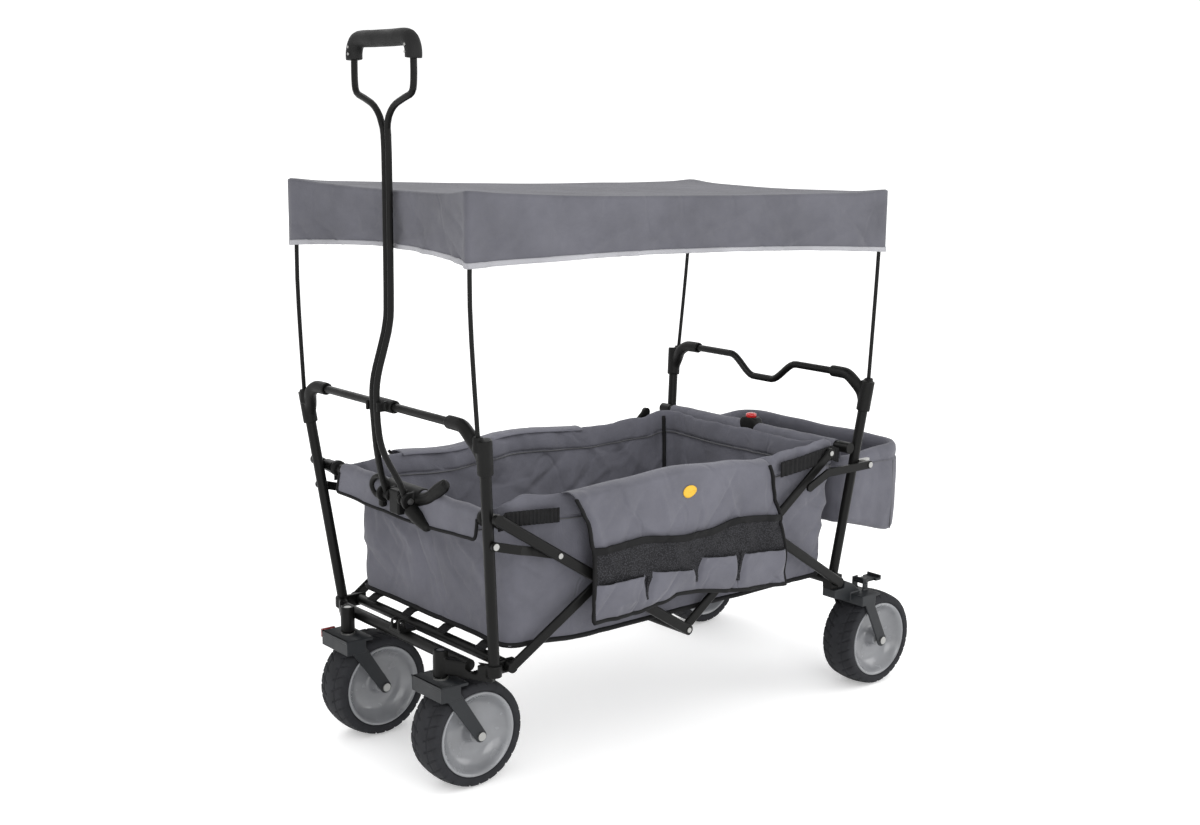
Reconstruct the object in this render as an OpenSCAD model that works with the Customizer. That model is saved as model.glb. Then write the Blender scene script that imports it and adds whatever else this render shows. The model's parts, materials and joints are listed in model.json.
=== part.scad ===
// Folding camp wagon with a double scissor on each side, a cloth tub and a canopy.
// +X points to the rear, +Y to the right-hand side, +Z up; the floor is z = 0.

/* [Wheels] */
// Outside diameter of every wheel
wheel_d = 200; // [190:1:202]
// Width of every tyre
tyre_w = 77; // [70:1:80]
// Diameter of the wheel bolts
axle_d = 10; // [8:0.5:12]
// Gap between a wheel and its fork plates
fork_gap = 3.5; // [2:0.5:4]

/* [Frame] */
// Diameter of posts, cross tubes and torsion tubes
tube_d = 20; // [18:1:20]
// Wall of the posts
tube_wall = 1.5; // [1:0.1:2]
// Diameter of the bars that cross the front and the rear
bar_d = 15; // [12:1:16]
// Diameter of the canopy poles
pole_d = 8; // [6:0.5:8]

/* [Scissor] */
// Distance between the front and the rear lower pivots
pivot_span = 839; // [835:1:842]
// Height of the lower pivots
pivot_h = 240; // [238:1:242]
// Height of the pivot where the lower arms meet
peak_h = 512; // [508:1:516]
// Width of a scissor arm across its flat
arm_w = 20; // [16:1:22]
// Thickness of a scissor arm
arm_t = 8; // [6:0.5:8]
// Diameter of the scissor rivets
rivet_d = 8; // [6:0.5:9]

/* [Cloth] */
// Length of the tub inside the frame
tub_l = 814; // [790:1:814]
// Width of the tub
tub_w = 494; // [470:1:494]
// Thickness of the tub walls
cloth_t = 3; // [2:0.5:4]
// Height of the canopy skirt
skirt_h = 120; // [100:1:130]

/* [Handle] */
// Diameter of the two handle rods
rod_d = 12; // [10:0.5:12]
// Width of the grip over its corners
grip_w = 200; // [180:1:210]
// Height of the top of the parked handle
handle_top = 1330; // [1300:1:1350]

/* [Hidden] */

// Radial clearance of a turning fit, and the sideways gap between parts of two bodies
fit = 0.05;
gap = 0.5;

// Wheels: centre of the front and rear wheels on the +Y side, and the swivel axis
wheel_r = wheel_d / 2;
front_wheel = [-505, 156.5, wheel_r];
rear_wheel = [465, 261.5, wheel_r];
swivel_x = -560;
crown_z = 202;
crown_t = 6;
fork_y = tyre_w / 2 + fork_gap;
plate_t = 4;

// Posts: foot and head of the +Y post at each end
tube_r = tube_d / 2;
front_foot = [-513.5, 253, 250];
front_head = [-555, 287, 600];
rear_foot = [357.3, 256.6, 252];
rear_head = [397, 285.5, 600];
bar_r = bar_d / 2;

// Scissor pivots on the +Y side: x, distance of the arm's middle plane, height.
// Each pivot lists the plane of the arm that is named with it.
front_low = [-480, 260, pivot_h];
rear_low = front_low + [pivot_span, 13.5, 0];
peak_x = front_low[0] + pivot_span / 2;
front_peak = [peak_x, 283, peak_h];
rear_peak = [peak_x, 292, peak_h];
front_tip = [-539, 300, 522];
front_valley = [-62, 263, 222];
rear_tip = [308, 280, 522];
rear_valley = [-62, 253, 222];
front_stay_foot = [-538, 290, 474];
rear_stay_foot = [412, 296, 487];
front_cross = crossing(front_low, front_peak, front_tip, front_valley);
rear_cross = crossing(rear_low, rear_peak, rear_tip, rear_valley);
front_stay_end = along(front_tip, front_valley, 0.293);
stay_t = 5;
stay_w = 16;

// Cross tubes
caster_beam_x = -532;
front_tube = [-523, 512];
rear_tube = [365, 525];

// Handle: pivot, fork and shaft positions in the middle plane
handle_pivot = [-546, 505];
rod_y = rod_d / 2 + 0.5;
fork_rod_y = 31;

// Cloth
tub_front = -472;
tub_floor = 256;
tub_rim = 528;
canopy_front = -588;
canopy_rear = 446;
canopy_half = 287;
canopy_top = 1066;
canopy_pitch = atan2(21, canopy_rear - canopy_front);

// Where the x-z lines a-b and c-d cross, with the distance of line a-b from the middle
function crossing(a, b, c, d) =
    let (u = b - a, v = d - c, w = c - a,
         t = (w[0] * v[2] - w[2] * v[0]) / (u[0] * v[2] - u[2] * v[0]))
    a + t * u;
function along(a, b, t) = a + t * (b - a);
// Position on segment a-b at the same x as p
function at_x(a, b, x) = along(a, b, (x - a[0]) / (b[0] - a[0]));
function unit(v) = v / norm(v);

// The same shape on both sides of the middle plane
module pair() {
    children();
    mirror([0, 1, 0]) children();
}

// Cylinder between two points
module rod(a, b, r) {
    d = b - a;
    translate(a) rotate([0, acos(d[2] / norm(d)), atan2(d[1], d[0])])
        cylinder(h = norm(d), r = r, $fn = 48);
}

// Cylinder along Y at one x and z, from y0 to y1
module cross_rod(x, z, y0, y1, r) {
    translate([x, y0, z]) rotate([-90, 0, 0]) cylinder(h = y1 - y0, r = r, $fn = 48);
}

// Round bar swept along a list of points, none of whose steps runs along X
module sweep(path, r, sides = 12) {
    last = len(path) - 1;
    rings = [for (i = [0:last])
        let (t = unit(path[min(i + 1, last)] - path[max(i - 1, 0)]),
             u = unit(cross(t, [1, 0, 0])), v = cross(t, u))
        for (k = [0:sides - 1]) path[i] + r * (cos(360 * k / sides) * u + sin(360 * k / sides) * v)];
    walls = [for (i = [0:last - 1], k = [0:sides - 1])
        let (n = (k + 1) % sides)
        [i * sides + k, (i + 1) * sides + k, (i + 1) * sides + n, i * sides + n]];
    polyhedron(rings, concat([[for (k = [0:sides - 1]) k]], walls,
        [[for (k = [sides - 1:-1:0]) last * sides + k]]));
}

// Smooth curve through control points, with n steps for each stretch
function smooth(p, n = 4) = let (last = len(p) - 1)
    concat([for (i = [0:last - 1], k = [0:n - 1])
        let (a = p[max(i - 1, 0)], b = p[i], c = p[i + 1], d = p[min(i + 2, last)], t = k / n)
        0.5 * (2 * b + (c - a) * t + (2 * a - 5 * b + 4 * c - d) * t * t
            + (3 * b - a - 3 * c + d) * t * t * t)], [p[last]]);

// Flat-oval bar between two pivots, with a round eye at each end
module arm(a, b, w, t) {
    d = b - a;
    l = norm(d);
    translate(a) rotate([0, -atan2(d[2], d[0]), 0]) rotate([0, 0, asin(d[1] / l)]) {
        rotate([90, 0, 90]) linear_extrude(l) {
            square([t, w - t], center = true);
            for (s = [-1, 1]) translate([0, s * (w - t) / 2]) circle(t / 2, $fn = 32);
        }
        for (x = [0, l]) translate([x, 0, 0]) rotate([90, 0, 0])
            cylinder(h = t, r = w / 2, center = true, $fn = 48);
    }
}

// Hole along Y through one arm at pivot p
module pivot_hole(p, r) {
    cross_rod(p[0], p[2], p[1] - arm_t, p[1] + arm_t, r);
}

// --- Root frame ---------------------------------------------------------------

module post(foot, head) {
    difference() {
        rod(foot, head, tube_r);
        rod(foot - 0.01 * (head - foot), head + 0.01 * (head - foot), tube_r - tube_wall);
    }
}

module front_posts() {
    color("#1c1c1a") pair() post(front_foot, front_head);
}

// Foot casting: a sleeve at the post, a gusset to the swivel socket and a bearing lug
module front_foot_brackets() {
    gusset = [front_foot[0] - swivel_x, front_foot[1] - front_wheel[1]];
    stem_r = 7;
    color("#20201e") pair() difference() {
        union() {
            translate([front_foot[0], front_foot[1], 228]) cylinder(h = 22, r = 14, $fn = 48);
            translate([swivel_x, front_wheel[1], 211.5]) cylinder(h = 50.5, r = 13.5, $fn = 48);
            translate([swivel_x, front_wheel[1], 218]) rotate([0, 0, atan2(gusset[1], gusset[0])])
                translate([0, -8, 0]) cube([norm(gusset), 16, 30]);
            translate([front_foot[0], 240, 227]) cube([front_low[0] + 14 - front_foot[0], 10, 25]);
        }
        translate([swivel_x, front_wheel[1], 200]) cylinder(h = 80, r = stem_r + fit, $fn = 48);
        cross_rod(front_low[0], pivot_h, 230, 260, tube_r + fit);
        cross_rod(caster_beam_x, pivot_h, 0, 230, 11);
    }
}

module caster_beam() {
    color("#1c1c1a") cross_rod(caster_beam_x, pivot_h, -206, 206, 11);
}

// Two ears for a tow link, with a pin hole through both
module tow_dock() {
    ear_x = caster_beam_x - 15;
    pin_z = 268;
    color("#2a2a28") difference() {
        union() {
            translate([ear_x - 8, -18, 251]) cube([36, 36, 7]);
            for (y = [-14, 8]) {
                translate([ear_x - 8, y, 255]) cube([16, 6, pin_z - 255]);
                cross_rod(ear_x, pin_z, y, y + 6, 8);
            }
        }
        cross_rod(ear_x, pin_z, -30, 30, 4.2);
    }
}

// Tube that carries the tub's rim, with a round cap at each end
module top_tube(place) {
    cross_rod(place[0], place[1], -256, 256, tube_r);
    pair() cross_rod(place[0], place[1], 256, 284, tube_r + 1.5);
}

module front_top_tube() {
    color("#1c1c1a") top_tube(front_tube);
}

// Corner casting: sleeve over the post's head, curved arm to the bar, socket for the pole
module corner_bracket(foot, head, bar_x, bar_z, pole) {
    axis = unit(head - foot);
    top = head + axis * 62;
    difference() {
        union() {
            rod(head, top, 14);
            sweep(smooth([head + axis * 14, head + axis * 38 - [0, 12, 0],
                [bar_x, 262, bar_z - 15], [bar_x, 242, bar_z - 2],
                [bar_x, 222, bar_z], [bar_x, 200, bar_z]]), 12, 16);
            translate([pole[0], pole[1], 640]) cylinder(h = 26, r = 9, $fn = 48);
        }
        translate([pole[0], pole[1], 648]) cylinder(h = 60, r = pole_d / 2 + 0.1, $fn = 48);
        cross_rod(bar_x, bar_z, 190, 236, bar_r);
    }
}

front_bar = [-568, 678];
rear_bar = [396, 672];
front_pole = [-569, 285];
rear_pole = [412, 285];

module front_corner_brackets() {
    color("#161614") pair()
        corner_bracket(front_foot, front_head, front_bar[0], front_bar[1], front_pole);
}

module front_handle_bar() {
    color("#1c1c1a") cross_rod(front_bar[0], front_bar[1], -236, 236, bar_r);
}

// Clip on the middle of the bar that keeps the parked handle upright
module handle_clip() {
    x = front_bar[0];
    z = front_bar[1];
    color("#141412") difference() {
        union() {
            cross_rod(x, z, -34, 34, 12);
            for (y = [-20, 15]) translate([x - 28, y, z - 9]) cube([24, 5, 18]);
        }
        cross_rod(x, z, -40, 40, bar_r);
    }
}

// Saddle on the top tube: lugs and cheeks for the handle pivot, a horn that holds back the
// cloth on the -Y side and a loop for a strap on the +Y side
module handle_yoke() {
    x = front_tube[0];
    z = front_tube[1];
    horn = [[x - 6, -44, z - 4], [x - 9, -66, z], [x - 10, -88, z + 8],
        [x - 10, -112, z + 24], [x - 7, -136, z + 40]];
    loop = [[x - 12, 42, z + 6], [x - 14, 62, z + 18], [x - 15, 84, z + 14], [x - 15, 96, z - 2],
        [x - 15, 84, z - 17], [x - 14, 62, z - 20], [x - 12, 42, z - 10]];
    color("#161614") difference() {
        union() {
            cross_rod(x, z, -56, 56, tube_r + 6);
            pair() {
                cross_rod(handle_pivot[0], handle_pivot[1], 17, 23, 11);
                cross_rod(handle_pivot[0], handle_pivot[1], 38, 45, 16);
                translate([handle_pivot[0], 17, handle_pivot[1] - 11])
                    cube([x - handle_pivot[0], 6, 26]);
                translate([handle_pivot[0], 38, handle_pivot[1] - 14])
                    cube([x - handle_pivot[0], 7, 30]);
            }
            sweep(smooth(horn), 9);
            sweep(smooth(loop), 5.5);
        }
        cross_rod(x, z, -160, 160, tube_r);
        cross_rod(handle_pivot[0], handle_pivot[1], -50, 50, 4);
        pair() cross_rod(handle_pivot[0], handle_pivot[1], 24, 37.4, 9.5);
    }
}

module handle_pivot_pin() {
    color("#c8c8c8") {
        cross_rod(handle_pivot[0], handle_pivot[1], -45, 45, 4);
        pair() cross_rod(handle_pivot[0], handle_pivot[1], 45, 47, 6);
    }
}

module stay_rivet(p, from) {
    cross_rod(p[0], p[2], from, p[1] + stay_t / 2 + gap, 3.5);
    cross_rod(p[0], p[2], p[1] + stay_t / 2 + gap, p[1] + stay_t / 2 + 2, 6);
}

module front_stay_rivets() {
    color("#a8a8a6") pair() stay_rivet(front_stay_foot, 284.5);
}

// --- Cloth that hangs in the frame --------------------------------------------

// Tub block whose front wall leans out to the top tube, shrunk by t except at the top
module tub_block(t) {
    rear = tub_front + tub_l;
    over = t > 0 ? 20 : 0;
    translate([0, tub_w / 2 - t, 0]) rotate([90, 0, 0]) linear_extrude(tub_w - 2 * t)
        polygon([[tub_front + t, tub_floor + t], [rear - t, tub_floor + t],
            [rear + 8 - t, tub_rim + over], [tub_front - 36 + t, tub_rim + over],
            [tub_front - 36 + t, tub_rim], [tub_front - 3 + t, 446]]);
}

module tub_body() {
    color("#6f6f73") difference() {
        tub_block(0);
        tub_block(cloth_t);
    }
}

// Outer cloth panel with pockets, hung outside the scissor on each side
module side_panels() {
    lean = atan2(17, 266);
    color("#77777b") pair() translate([0, 288.5, 264]) rotate([90 - lean, 0, 0])
        linear_extrude(2.5) polygon([[-320, 0], [175, 0], [100, 266], [-385, 266]]);
}

module floor_mat() {
    color("#3c3c3e") translate([tub_front + 12, 7 - tub_w / 2, tub_floor + cloth_t])
        cube([tub_l - 24, tub_w - 14, 9]);
}

module floor_straps() {
    color("#2a2a2c") for (y = [-180, -60, 60, 180])
        translate([front_low[0], y - 13, 250.5]) cube([pivot_span, 26, 4]);
}

// --- Canopy -------------------------------------------------------------------

// Plan outline of the canopy, whose front edge is hollow to clear the handle
module canopy_plan(inset) {
    sag = 52;
    front = canopy_front + inset;
    half = canopy_half - inset;
    radius = (half * half + sag * sag) / (2 * sag);
    difference() {
        translate([front, -half]) square([canopy_rear - canopy_front - 2 * inset, 2 * half]);
        translate([front + sag - radius, 0]) circle(radius, $fn = 128);
    }
}

module canopy_cover() {
    sheet = 2;
    color("#75757a") translate([canopy_front, 0, canopy_top]) rotate([0, canopy_pitch, 0])
        translate([-canopy_front, 0, -skirt_h]) difference() {
            linear_extrude(skirt_h) canopy_plan(0);
            translate([0, 0, -sheet]) linear_extrude(skirt_h) canopy_plan(sheet);
        }
}

// Canopy pole: a spigot in the corner bracket and a bowed rod up to the cover
module canopy_pole(pole, middle, head) {
    foot = [pole[0], pole[1], 666];
    translate([pole[0], pole[1], 650]) cylinder(h = 20, r = pole_d / 2, $fn = 48);
    sweep(smooth([foot, middle, head]), pole_d / 2);
}

module front_canopy_poles() {
    color("#1c1c1a") pair()
        canopy_pole(front_pole, [-580, 280.5, 880], [-577, 279.5, canopy_top - 12]);
}

module rear_canopy_poles() {
    color("#1c1c1a") pair()
        canopy_pole(rear_pole, [430, 280.5, 880], [437, 279.5, canopy_top - 33]);
}

// --- Pull handle --------------------------------------------------------------

module handle_rods() {
    grip_y = grip_w / 2 - rod_d / 2;
    path = [[handle_pivot[0], fork_rod_y, handle_pivot[1]],
        [handle_pivot[0] - 12, fork_rod_y - 2, handle_pivot[1] + 34], [-577, rod_y + 6, 588],
        [-585, rod_y, 628], [-589, rod_y, 690], [-585, rod_y, 732], [-570, rod_y, 782],
        [-559, rod_y, 824], [-556, rod_y, 880], [-556, rod_y, 1120], [-559, rod_y + 3, 1172],
        [-560, 30, 1200], [-560, 62, 1214], [-560, 88, 1224], [-560, grip_y, 1246],
        [-560, grip_y, 1284]];
    color("#1c1c1a") pair() difference() {
        union() {
            sweep(smooth(path, 3), rod_d / 2);
            cross_rod(handle_pivot[0], handle_pivot[1], fork_rod_y - 5.5, fork_rod_y + 5.5, 9);
        }
        cross_rod(handle_pivot[0], handle_pivot[1], 10, 50, 4 + fit);
    }
}

// Moulded grip across the top of the rods, turned down over both corners
module handle_grip() {
    grip_r = 15;
    top = handle_top - grip_r;
    side = grip_w / 2 - rod_d / 2;
    half = [[-560, side, 1280], [-560, side, top - 22], [-560, side - 6, top - 8],
        [-560, side - 20, top], [-560, 30, top]];
    path = concat(half, [for (i = [4:-1:0]) [half[i][0], -half[i][1], half[i][2]]]);
    color("#121210") difference() {
        sweep(smooth(path, 3), grip_r, 16);
        pair() translate([-560, side, 1270]) cylinder(h = 14, r = rod_d / 2 + 0.05, $fn = 48);
    }
}

module grip_rivets() {
    side = grip_w / 2 - rod_d / 2;
    color("#b4b4b2") pair() for (z = [1290, 1302])
        translate([-560 - 15.5, side - 4, z]) rotate([0, 90, 0]) cylinder(h = 1.2, r = 2.5, $fn = 24);
}

// --- Scissor ------------------------------------------------------------------

module front_lower_arms() {
    color("#1c1c1a") pair() difference() {
        arm(front_low, front_peak, arm_w, arm_t);
        pivot_hole(front_cross, rivet_d / 2);
        pivot_hole(front_peak, rivet_d / 2);
    }
}

module front_torsion_tube() {
    color("#1c1c1a") cross_rod(front_low[0], pivot_h, -front_low[1] + 4.5, front_low[1] - 4.5, tube_r);
}

// Rivets that carry the front upper arm and the rear lower arm
module front_lower_rivets() {
    outer = at_x(front_tip, front_valley, front_cross[0])[1];
    color("#2a2a28") pair() {
        cross_rod(front_cross[0], front_cross[2], front_cross[1] - 6, outer + arm_t / 2, rivet_d / 2);
        cross_rod(front_peak[0], peak_h, front_peak[1] - 6, rear_peak[1] + arm_t / 2, rivet_d / 2);
    }
}

module front_upper_arms() {
    inner = at_x(front_tip, front_valley, front_cross[0]);
    color("#1c1c1a") pair() difference() {
        arm(front_tip, front_valley, arm_w, arm_t);
        pivot_hole(inner, rivet_d / 2 + fit);
    }
}

// Domed caps on the outside of an arm, over the stay pivot and the lower pivot
module arm_cap(p) {
    cross_rod(p[0], p[2], p[1] + arm_t / 2 - 1, p[1] + arm_t / 2 + 1.5, 5);
}

module front_upper_caps() {
    color("#b4b4b2") pair() {
        arm_cap(front_stay_end);
        arm_cap(front_valley);
    }
}

module rear_lower_arms() {
    color("#1c1c1a") pair() difference() {
        arm(rear_peak, rear_low, arm_w, arm_t);
        pivot_hole(rear_peak, rivet_d / 2 + fit);
        pivot_hole(rear_cross, rivet_d / 2);
    }
}

module rear_torsion_tube() {
    color("#1c1c1a") cross_rod(rear_low[0], pivot_h, -rear_low[1] + 4, rear_low[1] - 4, tube_r);
}

module rear_lower_rivets() {
    inner = at_x(rear_tip, rear_valley, rear_cross[0])[1];
    color("#2a2a28") pair() {
        cross_rod(rear_cross[0], rear_cross[2], inner - arm_t / 2 - 1, rear_cross[1] + arm_t / 2, rivet_d / 2);
        difference() {
            cross_rod(rear_cross[0], rear_cross[2], inner + arm_t / 2 + gap, rear_cross[1] - arm_t / 2 - gap, 8);
            cross_rod(rear_cross[0], rear_cross[2], inner, rear_cross[1], rivet_d / 2);
        }
    }
}

module rear_upper_arms() {
    inner = at_x(rear_tip, rear_valley, rear_cross[0]);
    color("#1c1c1a") pair() difference() {
        arm(rear_tip, rear_valley, arm_w, arm_t);
        pivot_hole(inner, rivet_d / 2 + fit);
    }
}

module centre_cross_tube() {
    color("#1c1c1a") cross_rod(rear_valley[0], rear_valley[2], -248, 248, tube_r);
}

module rear_upper_caps() {
    color("#b4b4b2") pair() {
        cross_rod(rear_tip[0], rear_tip[2], rear_tip[1] + arm_t / 2 - 1, rear_tip[1] + arm_t / 2 + 1.5, 5);
    }
}

// Turns the x-z plane of a flat part upright, with its thickness along Y from y
module upright(y, t) {
    translate([0, y + t / 2, 0]) rotate([90, 0, 0]) linear_extrude(t) children();
}

// Outline with the same width all along a line of x-z points
module strip(points, w) {
    for (i = [0:len(points) - 2]) hull() for (p = [points[i], points[i + 1]])
        translate(p) circle(d = w, $fn = 48);
}

// Stay links from the posts to the upper arms. The front one steps inward past the post's
// side, the rear one stays outside the post and is bent downward at its far end.
module front_stay(a, b) {
    l = norm([b[0] - a[0], b[2] - a[2]]);
    dy = b[1] - a[1];
    h = stay_t / 2;
    difference() {
        translate(a) rotate([0, -atan2(b[2] - a[2], b[0] - a[0]), 0]) intersection() {
            upright(0, 60) strip([[0, 0], [l, 0]], stay_w);
            translate([0, 0, -stay_w]) linear_extrude(2 * stay_w)
                polygon([[-20, -h], [56, -h], [90, dy - h], [l + 20, dy - h],
                    [l + 20, dy + h], [90, dy + h], [56, h], [-20, h]]);
        }
        cross_rod(a[0], a[2], a[1] - 6, a[1] + 6, 3.5 + fit);
    }
}

module front_stays() {
    end = front_stay_end - [0, arm_t / 2 + stay_t / 2 + 4.3, 0];
    color("#1c1c1a") pair() front_stay(front_stay_foot, end);
}

module rear_stays() {
    p = rear_stay_foot;
    color("#1c1c1a") pair() difference() {
        upright(p[1], stay_t) strip([[p[0], p[2]], [286, 487], [234, 464]], stay_w);
        cross_rod(p[0], p[2], p[1] - 6, p[1] + 6, 3.5 + fit);
    }
}

// --- Rear frame ---------------------------------------------------------------

module rear_posts() {
    color("#1c1c1a") pair() post(rear_foot, rear_head);
}

// Block under each rear post that holds the rear torsion tube
module rear_foot_brackets() {
    color("#20201e") pair() difference() {
        translate([rear_low[0] - 15, 242, 224]) cube([32, 24, 28]);
        cross_rod(rear_low[0], pivot_h, 230, 280, tube_r + fit);
    }
}

module rear_top_tube() {
    color("#1c1c1a") top_tube(rear_tube);
}

module rear_corner_brackets() {
    color("#161614") pair()
        corner_bracket(rear_foot, rear_head, rear_bar[0], rear_bar[1], rear_pole);
}

// Smooth rise from 0 to 1 as t goes from 0 to 1
function ease(t) = let (c = max(0, min(1, t))) c * c * (3 - 2 * c);

// Bar with a dip in its middle, for one hand
module rear_handle_bar() {
    dip = [for (y = [-236:8:236])
        [rear_bar[0], y, rear_bar[1] - 41 * (1 - ease((abs(y) - 26) / 72))]];
    color("#1c1c1a") sweep(dip, bar_r, 16);
}

// Lug behind the post, and the rivet that the rear stay turns on
module rear_stay_rivets() {
    p = rear_stay_foot;
    color("#2a2a28") pair() {
        translate([p[0] - 20, 279, p[2] - 11]) cube([32, 7, 22]);
        cross_rod(p[0], p[2], 285, p[1] - stay_t / 2 - gap, 8);
        stay_rivet(p, 285);
    }
}

// Fork plates beside one wheel, joined by a crown over it with a lip down to lip_z in front;
// y is the wheel's middle plane
module fork_plates(y, crown_a, crown_b, hub, lip_z) {
    top = crown_z + crown_t;
    width = 2 * (fork_y + plate_t);
    for (s = [-1, 1]) translate([0, y + s * (fork_y + plate_t / 2), 0]) {
        difference() {
            union() {
                arm([crown_a + 22, 0, crown_z - 8], [hub[0], 0, hub[2]], 26, plate_t);
                translate([crown_a, -plate_t / 2, lip_z]) cube([42, plate_t, top - lip_z]);
            }
            cross_rod(hub[0], hub[2], -10, 10, axle_d / 2);
        }
    }
    translate([crown_a, y - width / 2, crown_z]) cube([crown_b - crown_a, width, crown_t]);
    translate([crown_a, y - width / 2, lip_z]) cube([5, width, top - lip_z]);
}

module axle_bolt(y, hub) {
    end = fork_y + plate_t;
    cross_rod(hub[0], hub[2], y - end - 3, y + end + 3, axle_d / 2);
    for (s = [-1, 1]) translate([0, y + s * (end + 1.5), 0])
        cross_rod(hub[0], hub[2], -1.5, 1.5, 8);
}

module wheel_forks() {
    color("#2f3133") pair() {
        fork_plates(rear_wheel[1], 396, 452, rear_wheel, 187);
        translate([0, 274, 0]) rotate([90, 0, 0]) linear_extrude(34)
            polygon([[346, 223.9], [376.2, 223.9], [376.2, 240], [400, 230], [424, 212],
                [424, 205], [398.5, 205], [398.5, 190.5], [346, 206]]);
        for (y = [rear_wheel[1] - 15.5, rear_wheel[1] + 12.5])
            translate([brake_x - 8, y, 207]) cube([16, 3, 26]);
        cross_rod(brake_x, brake_z, rear_wheel[1] - 17, rear_wheel[1] + 17, brake_pin_r);
    }
}

module rear_axle_bolts() {
    color("#b4b4b2") pair() axle_bolt(rear_wheel[1], rear_wheel);
}

// Open-topped bag behind the rear posts, with a floor that rises to the front
module rear_bag() {
    half = 240;
    outline = [[378, 500], [605, 500], [605, 326], [588, 304], [378, 352]];
    inside = [[384, 510], [599, 510], [599, 330], [584, 311], [384, 357]];
    color("#707074") difference() {
        translate([0, half, 0]) rotate([90, 0, 0]) linear_extrude(2 * half) polygon(outline);
        translate([0, half - 6, 0]) rotate([90, 0, 0]) linear_extrude(2 * half - 12) polygon(inside);
    }
}

// Housing on the rear top tube with a blind bore for the release button
button_r = 11.5;
module buckle_housing() {
    x = rear_tube[0];
    color("#1c1c1a") difference() {
        translate([x - 14, -26, 516]) cube([28, 52, 32]);
        cross_rod(x, rear_tube[1], -40, 40, tube_r);
        translate([x, 0, 537.5]) cylinder(h = 20, r = button_r + 0.3, $fn = 48);
    }
}

module buckle_button() {
    color("#a82020") translate([rear_tube[0], 0, 541]) cylinder(h = 13, r = button_r, $fn = 48);
}

// Foot lever over one rear wheel: a barrel on a pin and a pedal plate behind it
brake_x = 440;
brake_z = 226;
brake_pin_r = 3;
module brake_lever(y) {
    difference() {
        union() {
            cross_rod(brake_x, brake_z, y - 12, y + 12, 6);
            translate([brake_x, y - 12, brake_z - 3]) cube([34, 24, 5]);
            translate([brake_x + 30, y - 18, brake_z - 3]) cube([16, 36, 5]);
            translate([brake_x + 43, y - 18, brake_z - 3]) cube([3, 36, 10]);
        }
        cross_rod(brake_x, brake_z, y - 30, y + 30, brake_pin_r + fit);
    }
}

module brake_lever_left() { color("#26282a") brake_lever(-rear_wheel[1]); }
module brake_lever_right() { color("#26282a") brake_lever(rear_wheel[1]); }

// --- Casters and wheels -------------------------------------------------------

module caster_fork(y) {
    stem_r = 7;
    fork_plates(y, -590, -532, front_wheel, 180);
    translate([swivel_x, y, crown_z + crown_t - 1]) cylinder(h = 4, r = 13.5, $fn = 48);
    translate([swivel_x, y, crown_z + crown_t]) cylinder(h = 53, r = stem_r, $fn = 48);
}

module caster_fork_left() { color("#2f3133") caster_fork(-front_wheel[1]); }
module caster_fork_right() { color("#2f3133") caster_fork(front_wheel[1]); }
module caster_bolt_left() { color("#b4b4b2") axle_bolt(-front_wheel[1], front_wheel); }
module caster_bolt_right() { color("#b4b4b2") axle_bolt(front_wheel[1], front_wheel); }

// Lever at the outer end of the right caster's crown that stops the swivel
module swivel_lock() {
    y = front_wheel[1] + fork_y + plate_t;
    color("#4a1614") {
        translate([-582, y + 5.2, crown_z + 3]) rotate([0, 90, 0]) cylinder(h = 22, r = 4.5, $fn = 32);
        translate([-585, y + 8, crown_z - 11]) cube([28, 5, 16]);
    }
}

// Rim with a deep dish on both sides and a hub that runs on the axle bolt
module rim(y, hub) {
    half = tyre_w / 2;
    bore = axle_d / 2 + fit;
    color("#a9abad") translate([hub[0], y, hub[2]]) rotate([90, 0, 0]) rotate_extrude($fn = 96)
        polygon([[bore, half - 6], [14, half - 6], [16, half - 14], [24, half - 30],
            [52, half - 28], [70, half - 7], [78, half - 1], [78, half - 5], [76, half - 8],
            [76, 8 - half], [78, 5 - half], [78, 1 - half], [70, 7 - half], [52, 28 - half],
            [24, 30 - half], [16, 14 - half], [14, 6 - half], [bore, 6 - half]]);
}

module tyre(y, hub) {
    crown = 150;
    half = tyre_w / 2;
    color("#2c2c30") translate([hub[0], y, hub[2]]) rotate([90, 0, 0]) rotate_extrude($fn = 96)
        difference() {
            intersection() {
                translate([76, -half]) square([30, tyre_w]);
                translate([wheel_r - crown, 0]) circle(crown, $fn = 96);
            }
            for (s = [-1, 1]) translate([74, s * half - (s > 0 ? 8 : 0)]) square([4.2, 8]);
        }
}

module front_left_rim() { rim(-front_wheel[1], front_wheel); }
module front_left_tyre() { tyre(-front_wheel[1], front_wheel); }
module front_right_rim() { rim(front_wheel[1], front_wheel); }
module front_right_tyre() { tyre(front_wheel[1], front_wheel); }
module rear_left_rim() { rim(-rear_wheel[1], rear_wheel); }
module rear_left_tyre() { tyre(-rear_wheel[1], rear_wheel); }
module rear_right_rim() { rim(rear_wheel[1], rear_wheel); }
module rear_right_tyre() { tyre(rear_wheel[1], rear_wheel); }

front_posts();
front_foot_brackets();
caster_beam();
tow_dock();
front_top_tube();
front_corner_brackets();
front_handle_bar();
handle_clip();
handle_yoke();
handle_pivot_pin();
front_stay_rivets();
tub_body();
side_panels();
floor_mat();
floor_straps();
canopy_cover();
front_canopy_poles();
rear_canopy_poles();
handle_rods();
handle_grip();
grip_rivets();
front_lower_arms();
front_torsion_tube();
front_lower_rivets();
front_upper_arms();
front_upper_caps();
rear_lower_arms();
rear_torsion_tube();
rear_lower_rivets();
rear_upper_arms();
centre_cross_tube();
rear_upper_caps();
front_stays();
rear_stays();
rear_posts();
rear_foot_brackets();
rear_top_tube();
rear_corner_brackets();
rear_handle_bar();
rear_stay_rivets();
wheel_forks();
rear_axle_bolts();
rear_bag();
buckle_housing();
buckle_button();
brake_lever_left();
brake_lever_right();
caster_fork_left();
caster_fork_right();
caster_bolt_left();
caster_bolt_right();
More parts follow.
